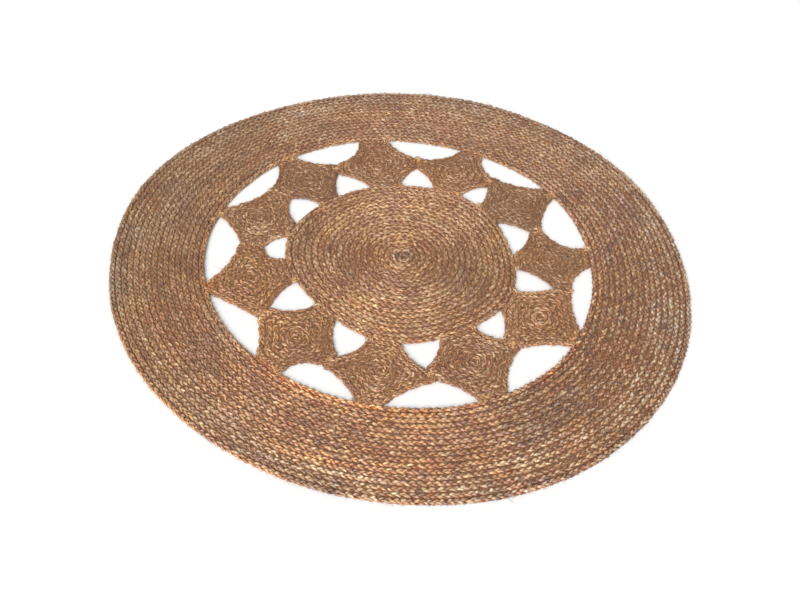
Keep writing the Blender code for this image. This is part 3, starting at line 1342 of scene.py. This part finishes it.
@dataclass
class SeamStitches:
    """Loops of jute thread over the corners of the squares, where they are sewn on."""

    seams: list[Seam]
    finish: Jute
    loops: int = 9
    reach: float = 6.5 * MM
    slant: float = 2.2 * MM
    height: float = 6.4 * MM
    arch: float = 2.6 * MM
    thickness: float = 0.55 * MM
    gold: Colour = (1.18, 1.04, 0.66)
    uneven_place: float = 0.5 * MM
    uneven_size: Range = (0.6, 1.1)
    uneven_girth: Range = (0.7, 1.2)
    uneven_tone: float = 0.3
    darker: float = 0.15
    rings: int = 7
    sides: int = 5

    def build(self, rng: np.random.Generator) -> bpy.types.Object:
        """Makes all the loops as one piece.

        A loop crosses its seam in a low arch: its height is the arch's height times one less the square of
        its share of the way across.

        Args:
            rng: seeded source of random numbers.

        Returns:
            The piece.
        """
        share = np.linspace(-1, 1, self.rings)
        point, across, half_length, gold = (np.repeat(part, self.loops, axis=0) for part in zip(*self.seams))
        count = len(gold)
        place = half_length * np.tile(np.linspace(-1, 1, self.loops), len(self.seams))
        place = place + rng.normal(size=count) * self.uneven_place
        slant = rng.normal(size=count) * self.slant
        reach = self.reach * rng.uniform(*self.uneven_size, count)
        flat = (
            point[:, None]
            + across[:, None] * (reach[:, None] * share)[..., None]
            + leftwards(across)[:, None] * (place[:, None] + slant[:, None] * share)[..., None]
        )
        arch = self.arch * rng.uniform(*self.uneven_size, count)
        paths = raised(flat, self.height + arch[:, None] * (1 - share**2))
        girth = self.thickness * rng.uniform(*self.uneven_girth, (count, 1)) * np.ones(self.rings)
        tubes = TubeBatch.round_paths(paths, girth, girth, self.sides)
        tone = np.exp(self.uneven_tone * rng.normal(size=(count, 1, 1)) - self.darker)
        tone = tone * np.ones(tubes.places.shape[:3])
        tubes.colours = self.finish.toned(tone, blended(gold[:, None, None], self.gold))
        return add_piece(tubes.mesh("corner_stitches"), self.finish.material())


class Stray(NamedTuple):
    """A long loose fibre in a gap: where it starts, in degrees and parts of the radius, and how it lies."""

    angle: float
    radius: float
    heading: float
    length: float
    bend: float


STRAYS = (
    # angle, radius, heading in degrees, length in metres, bend in parts of the length
    Stray(158.5, 0.455, 262.0, 0.034, 0.25),
    Stray(156.0, 0.448, 285.0, 0.028, -0.30),
    Stray(153.0, 0.440, 240.0, 0.022, 0.20),
    Stray(160.0, 0.470, 250.0, 0.018, -0.2),
    Stray(315.0, 0.505, 140.0, 0.026, 0.30),
    Stray(313.5, 0.495, 95.0, 0.020, -0.25),
    Stray(317.0, 0.500, 175.0, 0.022, 0.15),
)


@dataclass
class LooseFibres:
    """Fibre ends that stand off the strands and the edges, or lie across them."""

    name: str
    finish: Jute
    on_strands: int
    on_edges: int
    thickness: float
    length: float
    rise: float
    spread: float
    strays: tuple[Stray, ...] = ()
    upper_side: float = 6.6 * MM
    length_spread: float = 0.45
    length_range: Range = (3 * MM, 26 * MM)
    edge_length: float = 5 * MM
    edge_length_spread: float = 0.4
    edge_length_range: Range = (2.5 * MM, 14 * MM)
    edge_inset: float = 1.8 * MM
    edge_heights: Range = (1.5 * MM, 8 * MM)
    edge_spread: float = 0.8
    stray_height: float = 2.5 * MM
    bend: float = 0.3
    arch: float = 2.4
    lowest: float = 0.3 * MM
    girths: Range = (0.7, 1.4)
    tip_girth: float = 0.5
    tone_spread: float = 0.55
    warmth_spread: float = 0.25
    rings: int = 4
    sides: int = 3

    def from_strands(self, strands: list[TubeBatch], rng: np.random.Generator) -> tuple[np.ndarray, ...]:
        """Picks starting points on the strands' upper sides, with headings near the strands' own.

        Args:
            strands: the strands of all the parts.
            rng: seeded source of random numbers.

        Returns:
            Starting points, headings in radians and lengths.
        """
        points = np.concatenate([batch.places[:, :-1].reshape(-1, 3) for batch in strands])
        along = np.concatenate([np.diff(batch.places, axis=1).reshape(-1, 3) for batch in strands])
        upper = np.flatnonzero(points[:, 2] > self.upper_side)
        picked = rng.choice(upper, self.on_strands, replace=False)
        heading = polar(along[picked])[0] + rng.normal(size=self.on_strands) * self.spread
        length = rng.lognormal(np.log(self.length), self.length_spread, self.on_strands)
        return points[picked], heading, np.clip(length, *self.length_range)

    def from_edges(self, outlines: list[Outline], rng: np.random.Generator) -> tuple[np.ndarray, ...]:
        """Picks starting points just inside the braid's edges, with headings away from it.

        Args:
            outlines: the outlines of all the parts.
            rng: seeded source of random numbers.

        Returns:
            Starting points, headings in radians and lengths.
        """
        girths = np.array([outline.radii.mean() for outline in outlines])
        counts = np.round(self.on_edges * girths / girths.sum()).astype(int)
        points, headings = [], []
        for outline, count in zip(outlines, counts):
            angle = rng.uniform(0, TAU, count)
            height = rng.uniform(*self.edge_heights, count)
            points.append(raised(outline.points(angle, self.edge_inset), height))
            headings.append(angle + np.pi * (outline.side < 0) + rng.normal(size=count) * self.edge_spread)
        length = rng.lognormal(np.log(self.edge_length), self.edge_length_spread, int(counts.sum()))
        return np.concatenate(points), np.concatenate(headings), np.clip(length, *self.edge_length_range)

    def from_strays(self) -> tuple[np.ndarray, ...]:
        """Reads where the table's long fibres start.

        Returns:
            Starting points, headings in radians and lengths.
        """
        angle, radius, heading, length, _ = np.array(self.strays).reshape(-1, 5).T
        flat = on_circle(np.radians(angle), radius * RUG_RADIUS)
        return raised(flat, np.full(len(angle), self.stray_height)), np.radians(heading), length

    def build(
        self, strands: list[TubeBatch], outlines: list[Outline], rng: np.random.Generator
    ) -> bpy.types.Object:
        """Makes all the fibres as one piece.

        A fibre goes along its heading, turns aside by the square of its share, and rises and falls as the
        sine.

        Args:
            strands: the strands of all the parts.
            outlines: the outlines of all the parts.
            rng: seeded source of random numbers.

        Returns:
            The piece.
        """
        sources = (self.from_strands(strands, rng), self.from_edges(outlines, rng), self.from_strays())
        start, heading, length = (np.concatenate(part) for part in zip(*sources))
        count = len(start)
        bend = rng.normal(size=count) * self.bend
        bend[count - len(self.strays) :] = [stray.bend for stray in self.strays]
        share = np.linspace(0, 1, self.rings)
        forward = on_circle(heading, np.ones(count))
        flat = (
            start[:, None, :2]
            + forward[:, None] * (length[:, None] * share)[..., None]
            + leftwards(forward)[:, None] * (length * bend)[:, None, None] * (share**2)[:, None]
        )
        rise = np.abs(rng.normal(size=count)) * self.rise * length
        height = start[:, None, 2] + rise[:, None] * np.sin(share * self.arch)
        height = np.maximum(height, self.lowest)
        thinning = np.linspace(1, self.tip_girth, self.rings)
        girth = self.thickness * rng.uniform(*self.girths, (count, 1)) * thinning
        tubes = TubeBatch.round_paths(raised(flat, height), girth, girth, self.sides)
        spread = np.tanh(0.7 * rng.normal(size=(count, 1, 1)))
        tone = np.exp(self.tone_spread * spread - self.finish.darker) * np.ones(tubes.places.shape[:3])
        hue = np.exp(self.warmth_spread * rng.normal(size=(count, 1, 1, 1)) * WARM)
        tubes.colours = self.finish.toned(tone, hue)
        return add_piece(tubes.mesh(self.name), self.finish.material())


# ---------------------------------------------------------------- stage


@dataclass(frozen=True)
class Studio:
    """A plain white floor, soft light from the front left, and the camera."""

    lens: float = 43.41
    sensor: float = 36.0
    pitch: float = np.radians(45.88)
    roll: float = np.radians(5.598)
    eye: tuple[float, float, float] = (0.0015, -1.4710, 1.3908)
    clip: Range = (0.05, 100.0)
    floor_half: float = 14.0
    floor_grey: float = 0.70
    floor_roughness: float = 0.9
    floor_gloss: float = 0.1
    light: Colour = (1.0, 0.99, 0.975)
    sky: float = 0.66
    key: float = 4.3
    key_from: tuple[float, float, float] = (-0.27, -0.76, 0.62)
    key_spread: float = np.radians(40)

    def camera(self) -> None:
        """Places the camera: it looks along +Y, pitched down, and is rolled about its own line of sight."""
        data = bpy.data.cameras.new("camera")
        data.lens = self.lens
        data.sensor_width = self.sensor
        data.clip_start, data.clip_end = self.clip
        made = placed("camera", data)
        turned = Matrix.Rotation(np.pi / 2 - self.pitch, 4, "X") @ Matrix.Rotation(self.roll, 4, "Z")
        made.matrix_world = Matrix.Translation(self.eye) @ turned
        bpy.context.scene.camera = made

    def floor(self) -> None:
        """Lays a plain pale floor at height nought."""
        mesh = bpy.data.meshes.new("floor")
        signs = ((-1, -1), (1, -1), (1, 1), (-1, 1))
        corners = [(x * self.floor_half, y * self.floor_half, 0) for x, y in signs]
        mesh.from_pydata(corners, [], [(0, 1, 2, 3)])
        bench = NodeBench("floor_white")
        looks = {
            "Base Color": (*[self.floor_grey] * 3, 1),
            "Roughness": self.floor_roughness,
            "Specular IOR Level": self.floor_gloss,
        }
        bench.fill(bench.shader, looks)
        mesh.materials.append(bench.material)
        floor = placed("floor", mesh)

    def lights(self) -> None:
        """Lights the scene: an even white sky, and a soft key from the front left."""
        world = bpy.data.worlds.new("studio")
        world.use_nodes = True
        sky = world.node_tree.nodes["Background"]
        sky.inputs["Color"].default_value = (*self.light, 1)
        sky.inputs["Strength"].default_value = self.sky
        bpy.context.scene.world = world
        data = bpy.data.lights.new("key", "SUN")
        data.energy = self.key
        data.angle = self.key_spread
        data.color = self.light
        key = placed("key", data)
        key.matrix_world = Vector(self.key_from).to_track_quat("Z", "Y").to_matrix().to_4x4()
        bpy.context.scene.view_settings.view_transform = "Standard"

    def build(self) -> None:
        """Sets up the floor, the lights and the camera."""
        self.floor()
        self.lights()
        self.camera()


# ---------------------------------------------------------------- putting it together


def main() -> None:
    """Builds the rug's pieces in order, then the studio."""
    logging.basicConfig(level=logging.INFO, format="%(name)s: %(message)s")
    square_plait = Plait(
        period=26 * MM,
        steps=6,
        strand_half_width=2.3 * MM,
        strand_half_height=2.3 * MM,
        rise=1.7 * MM,
        # groove and seam: the painted shade of the squares' braid.
        groove=0.75,
        seam=0.68,
        ground=6.2 * MM,
        loosening=0.9,
    )
    square_jute = Jute("square_jute_braid", (0.349, 0.1615, 0.0655))
    squares = [
        HollowSquare(
            title=f"square_{number:02d}",
            node=f"square_{number:02d}",
            seed=20 + number,
            finish=square_jute,
            plait=square_plait,
            brightness=Waves(float(np.log(tone))),
            warmth=Waves(warmth),
            contrast=Waves(contrast),
        )
        for number, (tone, warmth, contrast) in enumerate(SQUARE_TONES, 1)
    ]
    ring = OuterRing(finish=Jute("ring_jute_braid", (0.353, 0.1730, 0.0731)), plait=Plait())
    disc = CentreDisc(finish=Jute("disc_jute_braid", (0.3585, 0.1720, 0.0700)), plait=Plait())
    seams = seams_of(squares, np.random.default_rng(40))
    edges = [square.outside for square in squares]
    deep, look = PaintedShadeInnerJute().material(), square_jute.material()
    strands = [part.build(edges, seams, part.finish.material(), deep) for part in (ring, disc)]
    for square in squares:
        around = [edge for edge in edges if edge is not square.outside] + [ring.inside, disc.outside]
        strands.append(square.build(around, seams, look, deep))
    SeamStitches(seams, Jute("thread_jute", (0.50, 0.285, 0.15))).build(np.random.default_rng(41))
    outlines = [outline for part in (ring, disc, *squares) for outline in part.outlines]
    fibre_jute = Jute("fibre_jute", (0.46, 0.27, 0.15))
    fine = LooseFibres("loose_fibres", fibre_jute, 2200, 1800, 0.14 * MM, 9 * MM, 0.10, 0.5, STRAYS)
    fine.build(strands, outlines, np.random.default_rng(42))
    wisps = LooseFibres("loose_wisps", fibre_jute, 3400, 0, 0.42 * MM, 8 * MM, 0.03, 0.4)
    wisps.build(strands, outlines, np.random.default_rng(43))
    Studio().build()


if __name__ == "__main__":
    main()
